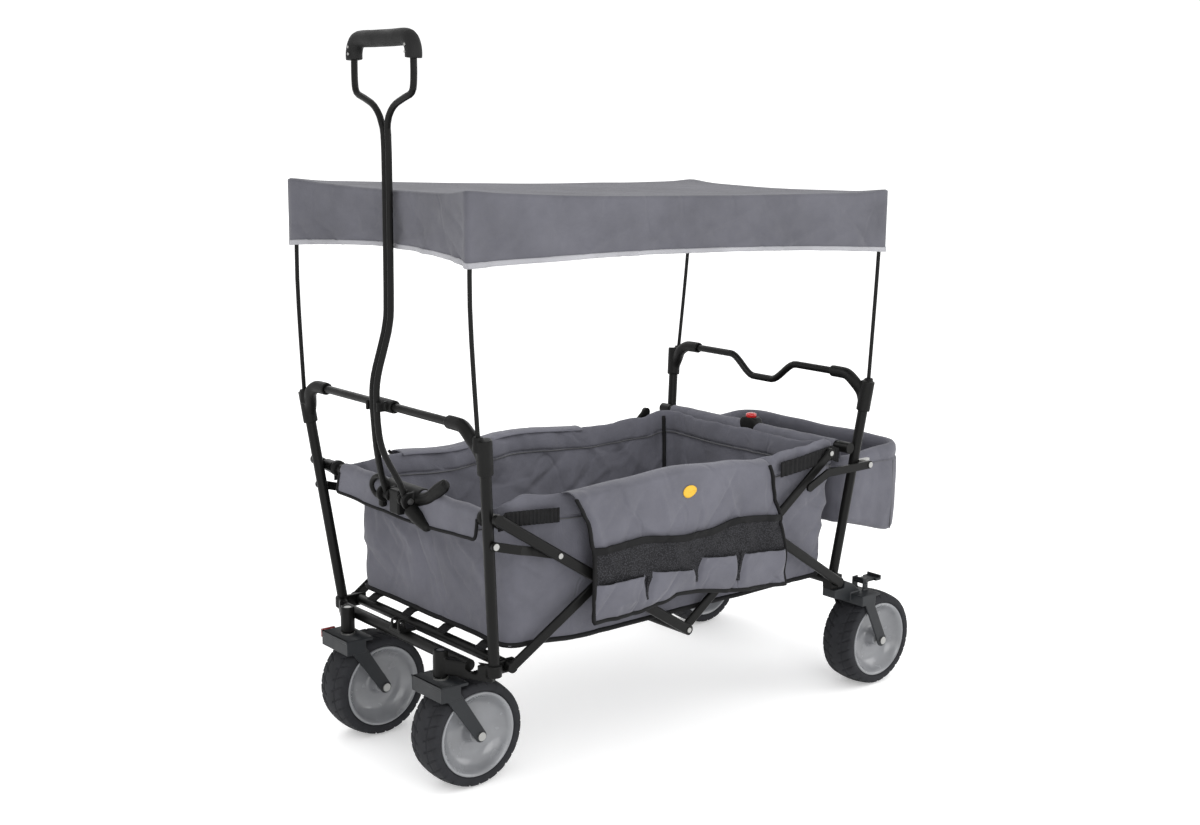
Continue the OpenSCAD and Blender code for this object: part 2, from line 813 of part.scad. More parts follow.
swivel_lock();
front_left_rim();
front_left_tyre();
front_right_rim();
front_right_tyre();
rear_left_rim();
rear_left_tyre();
rear_right_rim();
rear_right_tyre();
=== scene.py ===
"""Looks of the folding camp wagon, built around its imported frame."""

import json
import math

import bmesh
import bpy
import numpy as np
from mathutils import Matrix, Vector, noise


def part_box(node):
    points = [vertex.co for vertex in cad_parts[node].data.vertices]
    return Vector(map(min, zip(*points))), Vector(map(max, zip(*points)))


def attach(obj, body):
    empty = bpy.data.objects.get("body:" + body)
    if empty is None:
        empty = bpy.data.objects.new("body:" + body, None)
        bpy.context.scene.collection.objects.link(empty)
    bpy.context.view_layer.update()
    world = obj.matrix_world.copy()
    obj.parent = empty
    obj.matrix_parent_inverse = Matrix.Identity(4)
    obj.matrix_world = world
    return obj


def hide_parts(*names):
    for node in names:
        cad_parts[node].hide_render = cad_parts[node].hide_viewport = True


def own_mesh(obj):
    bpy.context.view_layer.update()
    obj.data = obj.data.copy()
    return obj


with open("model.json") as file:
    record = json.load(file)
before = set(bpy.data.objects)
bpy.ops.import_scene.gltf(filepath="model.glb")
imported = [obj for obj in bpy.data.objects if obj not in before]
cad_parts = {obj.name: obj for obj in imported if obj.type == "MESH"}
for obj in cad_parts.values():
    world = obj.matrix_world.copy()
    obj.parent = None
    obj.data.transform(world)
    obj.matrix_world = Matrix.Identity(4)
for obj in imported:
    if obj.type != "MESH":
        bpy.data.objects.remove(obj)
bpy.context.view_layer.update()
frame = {"nodes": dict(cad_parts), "record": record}
NODES = frame["nodes"]
SIDES = {"left": -1, "right": 1}
WHEEL_RADIUS = 0.100
CASTER = (-0.505, 0.1565)       # x and y of the right wheels' middles
REAR_WHEEL = (0.465, 0.2615)
FRONT_TUBE = (-0.523, 0.512)    # x and z of the tubes under the tub's end rims
REAR_TUBE = (0.365, 0.525)


# --- Materials -------------------------------

WAVE_REPEAT = 0.314     # metres between the crests of a wave texture of scale 1


class Shader:
    """A node material under construction: a Principled BSDF and short calls to feed it."""

    def __init__(self, name, colour, rough, **sockets):
        self.material = bpy.data.materials.new(name)
        self.material.use_nodes = True
        self.tree = self.material.node_tree
        self.bsdf = self.tree.nodes["Principled BSDF"]
        self.bsdf.inputs["Base Color"].default_value = (*colour, 1)
        self.bsdf.inputs["Roughness"].default_value = rough
        for socket, value in sockets.items():
            self.bsdf.inputs[socket.replace("_", " ")].default_value = value
        self.place = self.tree.nodes.new("ShaderNodeTexCoord").outputs["Object"]
        self.colour = colour

    def node(self, kind, inputs=None, **settings):
        made = self.tree.nodes.new("ShaderNode" + kind)
        for key, value in settings.items():
            setattr(made, key, value)
        for key, value in (inputs or {}).items():
            if isinstance(value, bpy.types.NodeSocket):
                self.tree.links.new(value, made.inputs[key])
            else:
                made.inputs[key].default_value = value
        return made

    def noise(self, scale, detail=3.0, rough=0.5, stretch=(1, 1, 1)):
        place = self.node("Mapping", {"Vector": self.place, "Scale": stretch}).outputs[0]
        return self.node("TexNoise", {"Vector": place, "Scale": scale, "Detail": detail,
                                      "Roughness": rough}).outputs["Fac"]

    def math(self, operation, a, b):
        return self.node("Math", {0: a, 1: b}, operation=operation).outputs[0]

    def ramp(self, value, low, high, from_a=0.3, from_b=0.7):
        return self.node("MapRange", {"Value": value, "From Min": from_a, "From Max": from_b,
                                      "To Min": low, "To Max": high}).outputs[0]

    def vary_colour(self, value, low, high, *span):
        """Multiplies the base colour by low to high as value crosses the ramp's span."""
        scale = self.ramp(value, low, high, *span)
        mix = self.node("VectorMath", {0: self.colour, "Scale": scale}, operation="SCALE")
        self.tree.links.new(mix.outputs[0], self.bsdf.inputs["Base Color"])

    def vary_rough(self, value, low, high):
        self.tree.links.new(self.ramp(value, low, high), self.bsdf.inputs["Roughness"])

    def bump(self, *layers):
        """Each layer is (height, depth in metres)."""
        normal = None
        for height, depth in layers:
            inputs = {"Height": height, "Distance": depth, "Strength": 1.0}
            if normal is not None:
                inputs["Normal"] = normal
            normal = self.node("Bump", inputs).outputs[0]
        self.tree.links.new(normal, self.bsdf.inputs["Normal"])

    def weave(self, pitch):
        """Fine threads in all three directions, 0 to 1."""
        total = None
        for axis in "XYZ":
            wave = self.node("TexWave", {"Vector": self.place, "Scale": WAVE_REPEAT / pitch},
                             bands_direction=axis).outputs["Fac"]
            total = wave if total is None else self.math("ADD", total, wave)
        return self.math("DIVIDE", total, 3.0)


def cloth(name, colour, pitch=0.0011, rough=0.85, crumple=0.0020):
    s = Shader(name, colour, rough, Sheen_Weight=0.10, Sheen_Roughness=0.5,
               Specular_IOR_Level=0.25)
    s.vary_colour(s.noise(8, 5, 0.6), 0.84, 1.15)
    s.vary_rough(s.noise(60, 2), rough - 0.08, rough + 0.06)
    offset = s.math("ABSOLUTE", s.math("SUBTRACT", s.noise(7, 2, 0.4, (1, 1, 0.8)), 0.5), 0.0)
    crease = s.node("MapRange", {"Value": offset, "From Min": 0.0, "From Max": 0.035},
                    interpolation_type="SMOOTHSTEP").outputs[0]
    s.bump((s.noise(22, 4, 0.5), crumple), (crease, crumple * 0.6), (s.weave(pitch), 0.00018))
    return s.material


def painted_metal():
    s = Shader("black_powder_coat", (0.0045, 0.0045, 0.0043), 0.34, Specular_IOR_Level=0.13)
    s.vary_rough(s.noise(45, 3), 0.30, 0.44)
    s.bump((s.noise(900, 2), 0.00006))
    return s.material


def moulded(name, colour, rough, grain=0.00010, **sockets):
    s = Shader(name, colour, rough, **sockets)
    s.vary_colour(s.noise(14, 4), 0.85, 1.15)
    s.vary_rough(s.noise(35, 3), rough - 0.06, rough + 0.07)
    s.bump((s.noise(1400, 2), grain))
    return s.material


def bright_steel():
    s = Shader("zinc_plate", (0.36, 0.36, 0.35), 0.34, Metallic=1.0)
    s.vary_rough(s.noise(300, 3), 0.26, 0.44)
    s.bump((s.noise(700, 2), 0.00005))
    return s.material


def tyre_rubber():
    s = Shader("tyre_foam", (0.015, 0.0155, 0.018), 0.8, Specular_IOR_Level=0.22)
    s.vary_colour(s.noise(40, 5, 0.6), 0.8, 1.25)
    s.bump((s.noise(500, 4, 0.6), 0.00035))
    return s.material


def pocket_mesh():
    """Open net: dark threads round small cells."""
    s = Shader("pocket_mesh", (0.030, 0.030, 0.034), 0.75, Specular_IOR_Level=0.15)
    cells = s.node("TexVoronoi", {"Vector": s.place, "Scale": 420.0}).outputs["Distance"]
    s.vary_colour(cells, 1.7, 0.35, 0.05, 0.55)
    s.bump((s.noise(30, 3), 0.0012), (cells, -0.0006))
    return s.material


def webbing(name="webbing", colour=(0.008, 0.008, 0.0085), rib=0.004):
    s = Shader(name, colour, 0.75, Specular_IOR_Level=0.15)
    s.vary_colour(s.noise(80, 3), 0.8, 1.25)
    ribs = s.node("TexWave", {"Vector": s.place, "Scale": WAVE_REPEAT / rib},
                  bands_direction="X").outputs["Fac"]
    s.bump((ribs, 0.0006), (s.noise(900, 2), 0.0001))
    return s.material


M = {
    "paint": painted_metal(),
    "black": moulded("black_nylon", (0.0048, 0.0048, 0.0046), 0.48,
                     Specular_IOR_Level=0.14),
    "grip": moulded("grip_rubber", (0.0065, 0.0065, 0.0065), 0.6, 0.00016,
                    Specular_IOR_Level=0.22),
    "fork": moulded("dark_grey_nylon", (0.013, 0.0145, 0.0165), 0.42,
                    Specular_IOR_Level=0.25),
    "steel": bright_steel(),
    "tub": cloth("grey_polyester", (0.098, 0.098, 0.117)),
    "inside": cloth("grey_lining", (0.105, 0.105, 0.114)),
    "seam": cloth("seam_thread", (0.075, 0.075, 0.079), crumple=0.0003),
    "canopy": cloth("canopy_polyester", (0.092, 0.092, 0.108), crumple=0.0012),
    "hem": cloth("silver_tape", (0.30, 0.30, 0.32), 0.0008, 0.5, 0.0003),
    "binding": moulded("black_binding", (0.0085, 0.0085, 0.009), 0.75, 0.0002,
                       Specular_IOR_Level=0.15),
    "mat": cloth("mat_cloth", (0.060, 0.060, 0.063)),
    "mesh": pocket_mesh(),
    "webbing": webbing(),
    "red": moulded("red_button", (0.42, 0.012, 0.012), 0.3, 0.00003, Coat_Weight=0.3),
    "dark_red": moulded("dark_red", (0.15, 0.010, 0.010), 0.25, 0.00003, Coat_Weight=0.4),
    "rim": moulded("rim_grey", (0.185, 0.19, 0.20), 0.22, 0.00003, Coat_Weight=0.25,
                   Coat_Roughness=0.12),
    "tyre": tyre_rubber(),
    "badge": moulded("badge_yellow", (0.62, 0.36, 0.02), 0.6),
}

BY_SLOT = {
    "frame_paint": "paint", "black_plastic": "black", "bright_steel": "steel",
    "fork_plastic": "fork", "tub_cloth": "tub", "canopy_cloth": "canopy",
    "mat_cloth": "mat", "webbing": "webbing", "red_plastic": "red",
    "dark_red_plastic": "dark_red", "rim_plastic": "rim", "tyre_foam": "tyre",
}


def dress_cad_nodes():
    for part in frame["record"]["subparts"]:
        node = NODES[part["node"]]
        node.data.materials.clear()
        node.data.materials.append(M[BY_SLOT[part["material_slot"]]])


# --- Mesh helpers ----------------------------

def link(name, data):
    obj = bpy.data.objects.new(name, data)
    bpy.context.collection.objects.link(obj)
    return obj


def add_piece(name, points, faces, material, body, slot, smooth=True):
    mesh = bpy.data.meshes.new(name)
    mesh.from_pydata([tuple(p) for p in points], [], faces)
    mesh.validate()
    mesh.materials.append(M[material])
    obj = link(name, mesh)
    mesh.polygons.foreach_set("use_smooth", [smooth] * len(mesh.polygons))
    fix_normals(mesh)
    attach(obj, body)
    return obj


def fix_normals(mesh):
    bm = bmesh.new()
    bm.from_mesh(mesh)
    bmesh.ops.remove_doubles(bm, verts=bm.verts, dist=1e-6)
    bmesh.ops.recalc_face_normals(bm, faces=bm.faces)
    bm.to_mesh(mesh)
    bm.free()


def grid_faces(rows, cols, closed_rows=False, closed_cols=False):
    """Quads over rows x cols points, stored row by row."""
    faces = []
    for i in range(rows if closed_rows else rows - 1):
        for k in range(cols if closed_cols else cols - 1):
            j, n = (i + 1) % rows, (k + 1) % cols
            faces.append((i * cols + k, i * cols + n, j * cols + n, j * cols + k))
    return faces


def stack(rings, closed=False):
    """Solid through rings of as many points each, closed into a loop or capped at both ends."""
    count, total = len(rings[0]), len(rings) * len(rings[0])
    faces = grid_faces(len(rings), count, closed_rows=closed, closed_cols=True)
    if not closed:
        faces += [tuple(range(count)), tuple(range(total - 1, total - count - 1, -1))]
    return [p for ring in rings for p in ring], faces


def both_sides(mid, along, across, thickness):
    """Points of a grid moved half the thickness to either side of it."""
    normal = np.cross(along, across)
    normal /= np.maximum(np.linalg.norm(normal, axis=2, keepdims=True), 1e-12)
    return mid + normal * thickness / 2, mid - normal * thickness / 2


def thick_grid(point, rows, cols, thickness):
    """Closed slab of even thickness whose middle is point(u, v)."""
    u = np.linspace(0, 1, rows)
    v = np.linspace(0, 1, cols)
    mid = np.array([[point(a, b) for b in v] for a in u], float)
    sides = both_sides(mid, *np.gradient(mid, axis=(0, 1)), thickness)
    count = rows * cols
    faces = grid_faces(rows, cols)
    faces += [tuple(count + i for i in reversed(f)) for f in grid_faces(rows, cols)]
    rim = [k for k in range(cols)] + [i * cols + cols - 1 for i in range(1, rows)]
    rim += [(rows - 1) * cols + k for k in range(cols - 2, -1, -1)]
    rim += [i * cols for i in range(rows - 2, 0, -1)]
    for a, b in zip(rim, rim[1:] + rim[:1]):
        faces.append((b, a, count + a, count + b))
    return np.vstack([side.reshape(-1, 3) for side in sides]), faces


def sweep(path, section, closed=False):
    """Sweeps section(i) -> [(side, up)] along path; side is level, up is square to both."""
    path = np.array(path, float)
    tangent = np.gradient(path, axis=0)
    if closed:
        tangent = np.roll(path, -1, 0) - np.roll(path, 1, 0)
    tangent /= np.linalg.norm(tangent, axis=1, keepdims=True)
    rings = []
    side = None
    for i, (p, t) in enumerate(zip(path, tangent)):
        if side is None:
            start = (0, 0, 1) if abs(t[2]) < 0.9 else (1, 0, 0)
            side = np.cross(t, start)
        side = side - t * np.dot(side, t)
        side /= np.linalg.norm(side)
        up = np.cross(side, t)
        rings.append([p + side * a + up * b for a, b in section(i)])
    return stack(rings, closed)


def circle(radius, sides=12, flat=1.0):
    turn = [2 * math.pi * k / sides for k in range(sides)]
    return [(radius * math.cos(a), radius * flat * math.sin(a)) for a in turn]


def spline(points, steps=8):
    """Catmull-Rom curve through the points."""
    p = np.array(points, float)
    out = []
    for i in range(len(p) - 1):
        a, b, c, d = p[max(i - 1, 0)], p[i], p[i + 1], p[min(i + 2, len(p) - 1)]
        for k in range(steps):
            t = k / steps
            out.append(0.5 * (2 * b + (c - a) * t + (2 * a - 5 * b + 4 * c - d) * t * t
                              + (3 * b - a - 3 * c + d) * t ** 3))
    return out + [p[-1]]


def cord_like(name, points, radius, material, body, slot, steps=8, sides=10, closed=False):
    """Piping or a thin round bar along a smooth line."""
    path = spline(points, steps) if steps > 1 else points
    return add_piece(name, *sweep(path, lambda i: circle(radius, sides), closed), material,
                     body, slot)


def wave(x, y, z, seed=0.0):
    """Smooth noise from -1 to 1 at a point given in its own units."""
    return noise.noise(Vector((x + seed, y - seed * 0.7, z + seed * 1.3)))


def level_step(nx, ny, length=1.0):
    """Step of one length in the level direction (nx, ny)."""
    norm = math.hypot(nx, ny) or 1
    return length * nx / norm, length * ny / norm


def step(x, low, high):
    t = min(max((x - low) / (high - low), 0.0), 1.0)
    return t * t * (3 - 2 * t)


def curve_at(table, x):
    """Smooth value through a short table of (x, value) pairs."""
    for (x0, a), (x1, b) in zip(table, table[1:]):
        if x <= x1:
            return a + (b - a) * step(x, x0, x1)
    return table[-1][1]


# --- Cast and moulded pieces -----------------

def soften(node, material, body, voxel=0.0016, smooth=6):
    """A copy of a CAD node with its edges and joints blended, as a casting has them."""
    obj = link(node + "_cast", NODES[node].data.copy())
    remesh = obj.modifiers.new("remesh", "REMESH")
    remesh.mode = "VOXEL"
    remesh.voxel_size = voxel
    blur = obj.modifiers.new("blur", "SMOOTH")
    blur.factor = 0.5
    blur.iterations = smooth
    thin = obj.modifiers.new("thin", "DECIMATE")
    thin.ratio = 0.35
    apply_modifiers(obj)
    obj.data.materials.clear()
    obj.data.materials.append(M[material])
    obj.data.polygons.foreach_set("use_smooth", [True] * len(obj.data.polygons))
    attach(obj, body)
    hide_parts(node)
    return obj


def apply_modifiers(obj):
    depsgraph = bpy.context.evaluated_depsgraph_get()
    mesh = bpy.data.meshes.new_from_object(obj.evaluated_get(depsgraph))
    obj.modifiers.clear()
    obj.data = mesh


def cast_pieces():
    for node in ("front_corner_brackets", "handle_clip", "handle_yoke"):
        soften(node, "black", "front_frame")
    soften("front_foot_brackets", "paint", "front_frame", 0.0018)
    soften("tow_dock", "paint", "front_frame", 0.0012)
    soften("rear_corner_brackets", "black", "rear_frame")
    soften("handle_grip", "grip", "pull_handle", 0.0018, 4)
    yoke_body()
    tube_ends()
    buckle()


def yoke_body():
    """Fuller moulding round the saddle, with a blade-like horn."""
    horn = [(-0.529, -0.044, 0.506), (-0.532, -0.066, 0.511), (-0.533, -0.088, 0.520),
            (-0.533, -0.112, 0.536), (-0.530, -0.137, 0.552)]
    path = spline(horn, 6)
    sizes = np.interp(np.linspace(0, 1, len(path)), [0, 0.3, 0.85, 0.95, 1],
                      [1.25, 1.0, 1.1, 1.0, 0.55])
    points, faces = sweep(path, lambda i: circle(0.0075 * sizes[i], 16, 1.6))
    add_piece("yoke_horn", points, faces, "black", "front_frame", "black_plastic")
    lobe = spline([(-0.545, -0.0475, 0.490), (-0.544, -0.062, 0.482), (-0.543, -0.080, 0.472),
                   (-0.542, -0.098, 0.464)], 6)
    sizes = np.interp(np.linspace(0, 1, len(lobe)), [0, 0.4, 0.9, 1], [1.0, 0.95, 0.62, 0.3])
    points, faces = sweep(lobe, lambda i: circle(0.0155 * sizes[i], 16, 0.8))
    add_piece("yoke_lobe", points, faces, "black", "front_frame", "black_plastic")
    parts = [block((-0.553, -0.0162, 0.474), (-0.5355, 0.0162, 0.520)),
             block((-0.5485, 0.0475, 0.476), (-0.5345, 0.060, 0.508))]
    bevelled("yoke_web", parts, 0.0045, "black", "front_frame", "black_plastic")


def tube_ends():
    """Round caps on both ends of the front top tube's cloth."""
    for side, s in SIDES.items():
        y = s * 0.2425
        path = [(FRONT_TUBE[0], y + d, FRONT_TUBE[1])
                for d in (-0.0065, -0.0055, 0, 0.0055, 0.0065)]
        sizes = (0.0130, 0.0150, 0.0155, 0.0150, 0.0130)
        points, faces = sweep(path, lambda i: circle(sizes[i], 28))
        add_piece(f"tube_cap_{side}", points, faces, "black", "front_frame", "black_plastic")


def buckle():
    """Rounded housing with a bore for the button, and a domed button."""
    x, top = REAR_TUBE[0], 0.5475
    sides = 72

    def ring(half_x, half_y, z):
        """Rounded rectangle."""
        return [(x + half_x * abs(c) ** 0.5 * (1 if c > 0 else -1),
                 half_y * abs(t) ** 0.5 * (1 if t > 0 else -1), z)
                for c, t in circle(1.0, sides)]

    def round_ring(r, z):
        return [(x + a, b, z) for a, b in circle(r, sides)]
    rings = [ring(0.0135, 0.0255, 0.516), ring(0.0140, 0.0262, 0.528), ring(0.0140, 0.0258, 0.536),
             ring(0.0136, 0.0240, 0.542), ring(0.0131, 0.0205, 0.5455), ring(0.0127, 0.0165, top),
             round_ring(0.0119, top), round_ring(0.0118, 0.5378)]
    piece = add_piece("buckle_shell", *stack(rings), "black", "rear_frame", "black_plastic")
    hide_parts("buckle_housing")
    dome = [(0.0112, 0.5412), (0.0114, 0.5520), (0.0110, 0.5538), (0.0095, 0.5552),
            (0.0060, 0.5561), (0.0005, 0.5564)]
    piece = add_piece("button_dome", *stack([round_ring(r, z) for r, z in dome]), "red",
                      "release_button", "red_plastic")
    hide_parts("buckle_button")


# --- Wheels and forks ------------------------

def revolve(centre, profile, sides, radius_shift=None):
    """Turns a closed (radius, y) profile about the wheel's Y axis."""
    points = []
    for i in range(sides):
        a = 2 * math.pi * i / sides
        for r, y in profile:
            grown = r + (radius_shift(a, r, y) if radius_shift else 0)
            points.append((centre[0] + grown * math.cos(a), centre[1] + y,
                           centre[2] + grown * math.sin(a)))
    return points, grid_faces(sides, len(profile), closed_rows=True, closed_cols=True)


def tread(angle, r, y, lugs=28, inner=0.090):
    """Grooves cut into the tyre: slanted lugs on both shoulders and two rings."""
    if r < inner:
        return 0.0
    lug = (angle * lugs / (2 * math.pi) + abs(y) * 26 + (0.5 if y > 0 else 0)) % 1.0
    slanted = 1.0 if lug < 0.15 and abs(y) > 0.009 else 0.0
    ring = 1.0 if 0.0160 < abs(y) < 0.0185 else 0.0
    return -0.0022 * max(slanted, ring)


def wheel(place, side, centre):
    body = f"{place}_{side}_wheel"
    half, crown = 0.0385, 0.150     # half the tyre's width, and its tread's curve
    rows = np.linspace(0.0036 - half, half - 0.0036, 37)
    outer = [(WHEEL_RADIUS - crown + math.sqrt(crown ** 2 - y * y), y) for y in rows]
    wall = [(0.0788, half - 0.0056), (0.0792, half - 0.0022), (0.0830, half),
            (0.0885, half - 0.0002), (0.0925, half - 0.0010), (0.0945, half - 0.0022)]
    profile = outer + [(r, y) for r, y in reversed(wall)]
    profile += [(0.0768, half - 0.009), (0.0768, 0.009 - half)]
    profile += [(r, -y) for r, y in wall]
    points, faces = revolve(centre, profile, 360, tread)
    tyre = add_piece(f"{body}_tyre", points, faces, "tyre", body, "tyre_foam")
    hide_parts(f"{place}_{side}_tyre")
    bowl = [(0.0052, 0.0325), (0.0125, 0.0327), (0.0142, 0.0310), (0.0155, 0.0240),
            (0.0180, 0.0140), (0.0240, 0.0092), (0.0360, 0.0088), (0.0500, 0.0115),
            (0.0600, 0.0180), (0.0665, 0.0255), (0.0705, 0.0325), (0.0738, 0.0366),
            (0.0765, 0.0378), (0.0783, 0.0368), (0.0785, 0.0335), (0.0766, 0.0305)]
    bowl = [tuple(p) for p in spline(bowl, 3)]
    profile = bowl + [(r, -y) for r, y in reversed(bowl)]
    points, faces = revolve(centre, profile, 128)
    rim = add_piece(f"{body}_rim", points, faces, "rim", body, "rim_plastic")
    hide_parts(f"{place}_{side}_rim")


def capsule(a, ra, b, rb, steps=10):
    """Outline of two circles of different size and the tangents between them."""
    a, b = Vector(a), Vector(b)
    d = b - a
    turn = math.atan2(d.y, d.x)
    lean = math.acos((ra - rb) / d.length)
    points = []
    for centre, r, start, stop in ((a, ra, lean, 2 * math.pi - lean), (b, rb, -lean, lean)):
        for k in range(steps + 1):
            angle = turn + start + (stop - start) * k / steps
            points.append((centre.x + r * math.cos(angle), centre.y + r * math.sin(angle)))
    return points


def plate(outline, y0, y1):
    """Flat plate with a straight edge, from an x-z outline."""
    count = len(outline)
    points = [(x, y0, z) for x, z in outline] + [(x, y1, z) for x, z in outline]
    faces = [tuple(range(count)), tuple(range(2 * count - 1, count - 1, -1))]
    faces += [(k, count + k, count + (k + 1) % count, (k + 1) % count) for k in range(count)]
    return points, faces


def block(low, high):
    outline = [(low[0], low[2]), (high[0], low[2]), (high[0], high[2]), (low[0], high[2])]
    return plate(outline, low[1], high[1])


def bevelled(name, parts, width, material, body, slot, nodes=()):
    """Several closed shapes joined in one piece, with rounded edges."""
    points, faces = [], []
    for pts, fcs in parts:
        base = len(points)
        points += list(pts)
        faces += [tuple(base + i for i in f) for f in fcs]
    obj = add_piece(name, points, faces, material, body, slot)
    edge = obj.modifiers.new("edge", "BEVEL")
    edge.width = width
    edge.segments = 3
    edge.limit_method = "ANGLE"
    edge.angle_limit = math.radians(40)
    edge.harden_normals = True
    apply_modifiers(obj)
    if nodes:
        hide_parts(*nodes)
    return obj


def fork(body, name, node, y, hub, crown, arm_top):
    """Crown channel over the wheel and a tapered arm on each side of it."""
    inner, outer = 0.0420, 0.0460
    low, high = crown
    parts = [block((low[0], y - outer, high[1] - 0.006), (high[0], y + outer, high[1])),
             block((low[0], y - outer, low[1]), (low[0] + 0.005, y + outer, high[1]))]
    for s in (-1, 1):
        lo, hi = sorted((y + s * inner, y + s * outer))
        parts.append(plate(capsule(arm_top, 0.0145, (hub[0], hub[2]), 0.0118), lo, hi))
        lo, hi = sorted((y + s * (inner + 0.0002), y + s * (outer + 0.0006)))
        parts.append(block((low[0], lo, low[1]), (low[0] + 0.042, hi, high[1])))
    bevelled(name, parts, 0.0014, "fork", body, "fork_plastic", [node])


def forks():
    for side, s in SIDES.items():
        y = s * CASTER[1]
        fork(f"caster_{side}", f"caster_fork_{side}_body", f"caster_fork_{side}", y,
             (CASTER[0], y, WHEEL_RADIUS), ((-0.590, 0.180), (-0.532, 0.208)), (-0.568, 0.194))
        stem, faces = sweep([(-0.560, y, z) for z in (0.2075, 0.2110, 0.2111, 0.261)],
                            lambda i: circle(0.0135 if i < 2 else 0.007, 24))
        add_piece(f"caster_stem_{side}", stem, faces, "steel", f"caster_{side}",
                  "bright_steel", smooth=False)
    soften("wheel_forks", "fork", "rear_frame", 0.0012, 3)


# --- Tub -------------------------------------

TUB_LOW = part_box("tub_body")[0]
TUB_FOOT = (-0.472, 0.342)
NEAR_RIM = [(-0.508, 0.522), (-0.485, 0.536), (-0.455, 0.544), (-0.385, 0.535),
            (-0.255, 0.541), (-0.129, 0.548), (0.004, 0.540), (0.097, 0.531), (0.20, 0.541),
            (0.30, 0.545), (0.351, 0.530)]
FAR_RIM = [(-0.508, 0.512), (-0.38, 0.516), (-0.26, 0.508), (-0.08, 0.522), (0.14, 0.508),
           (0.27, 0.513), (0.351, 0.525)]
RIM_HALF = [(-0.508, 0.256), (-0.30, 0.268), (-0.06, 0.272), (0.19, 0.271), (0.351, 0.258)]


def rim_height(x, y):
    """Top edge of the tub: it sags between the posts and the scissor's peak."""
    side = curve_at(NEAR_RIM if y < 0 else FAR_RIM, x)
    ends = 0.506 if x < 0 else 0.522
    inward = step(abs(y), 0.15, 0.235)
    return ends + (side - ends) * inward


def tub_outline(count=420, a=0.402, b=0.247, corner=0.030):
    """Rounded rectangle, as shares of its half length and half width."""
    straight = [(a, -b + corner, a, b - corner), (a - corner, b, -a + corner, b),
                (-a, b - corner, -a, -b + corner), (-a + corner, -b, a - corner, -b)]
    centres = [(a - corner, b - corner), (-a + corner, b - corner),
               (-a + corner, -b + corner), (a - corner, -b + corner)]
    dense = []
    for i, (x0, y0, x1, y1) in enumerate(straight):
        dense += [(x0 + (x1 - x0) * t, y0 + (y1 - y0) * t) for t in np.linspace(0, 1, 200)]
        cx, cy = centres[i]
        turn = [math.pi / 2 * (i + k / 20) for k in range(1, 20)]
        dense += [(cx + corner * math.cos(w), cy + corner * math.sin(w)) for w in turn]
    x, y, along = even_loop(np.array(dense), count)
    return list(zip(x / a, y / b, along))


def even_loop(dense, count):
    """Points at even steps round a closed line, with the length to each."""
    gaps = np.linalg.norm(np.roll(dense, -1, 0) - dense, axis=1)
    along = np.concatenate([[0], np.cumsum(gaps)[:-1]])
    want = np.linspace(0, gaps.sum(), count, endpoint=False)
    x = np.interp(want, along, dense[:, 0], period=gaps.sum())
    y = np.interp(want, along, dense[:, 1], period=gaps.sum())
    return x, y, want


def crease(x, y, seed, width=0.22):
    """Narrow soft ridges that wander over a cloth, 0 to 1."""
    return max(0.0, 1 - abs(wave(x, y, 0, seed)) / width) ** 1.5


def floor_rise(x):
    """The floor is higher at the front."""
    return 0.012 * step(-x, 0.30, 0.44)


def square_out(ux, uy, length=1.0):
    """Step out of the tub's wall: the high power keeps it square to each side."""
    return level_step(ux ** 15, uy ** 15, length)


def tub_wall(ux, uy, length, t):
    """Point of the tub wall: t is 0 at the floor and 1 at the rim."""
    front = TUB_FOOT[0] - 0.003 * t - 0.033 * step(t, 0.70, 0.98)
    rear = TUB_FOOT[1] + 0.008 * t
    x = (front + rear) / 2 + ux * (rear - front) / 2
    half = 0.241 + (curve_at(RIM_HALF, x) - 0.241) * t ** 1.2
    y = uy * half
    floor = TUB_LOW.z + 0.001 + floor_rise(x)
    z = floor + (rim_height(x, y) - floor) * t
    belly = math.sin(math.pi * min(t * 1.05, 1))
    upper = 0.35 + 0.65 * t
    out = 0.002 * belly
    out += 0.0060 * wave(length * 9, z * 5, 0, 3) * upper
    out += 0.0030 * wave(length * 26, z * 7, 0, 8) * t
    out += 0.0052 * wave(length * 8 + z * 16, z * 8 - length * 7, 0, 21) * belly
    out += 0.0060 * crease(length * 6 + z * 9, z * 5 - length * 3, 41, 0.30) * belly
    out -= 0.0050 * crease(length * 10 - z * 8, z * 6, 53, 0.28) * upper
    out -= 0.0030 * crease(length * 17 + z * 12, z * 7 - length * 5, 67, 0.25) * belly
    corner = abs(ux) ** 12 * abs(uy) ** 12
    out -= 0.004 * corner * belly
    dx, dy = square_out(ux, uy, out)
    return x + dx, y + dy, z


def ring_shell(rings, thickness):
    """Closed shell of even thickness round a stack of closed rings, open at top and bottom."""
    mid = np.array(rings, float)
    rows, cols = mid.shape[:2]
    around = np.roll(mid, -1, 1) - np.roll(mid, 1, 1)
    one, other = both_sides(mid, np.gradient(mid, axis=0), around, thickness)
    loops = np.concatenate([one, other[::-1]])
    return loops.reshape(-1, 3), grid_faces(2 * rows, cols, closed_rows=True, closed_cols=True)


def crumple(obj):
    """Gives a piece its own copy of its mesh."""
    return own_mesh(obj)


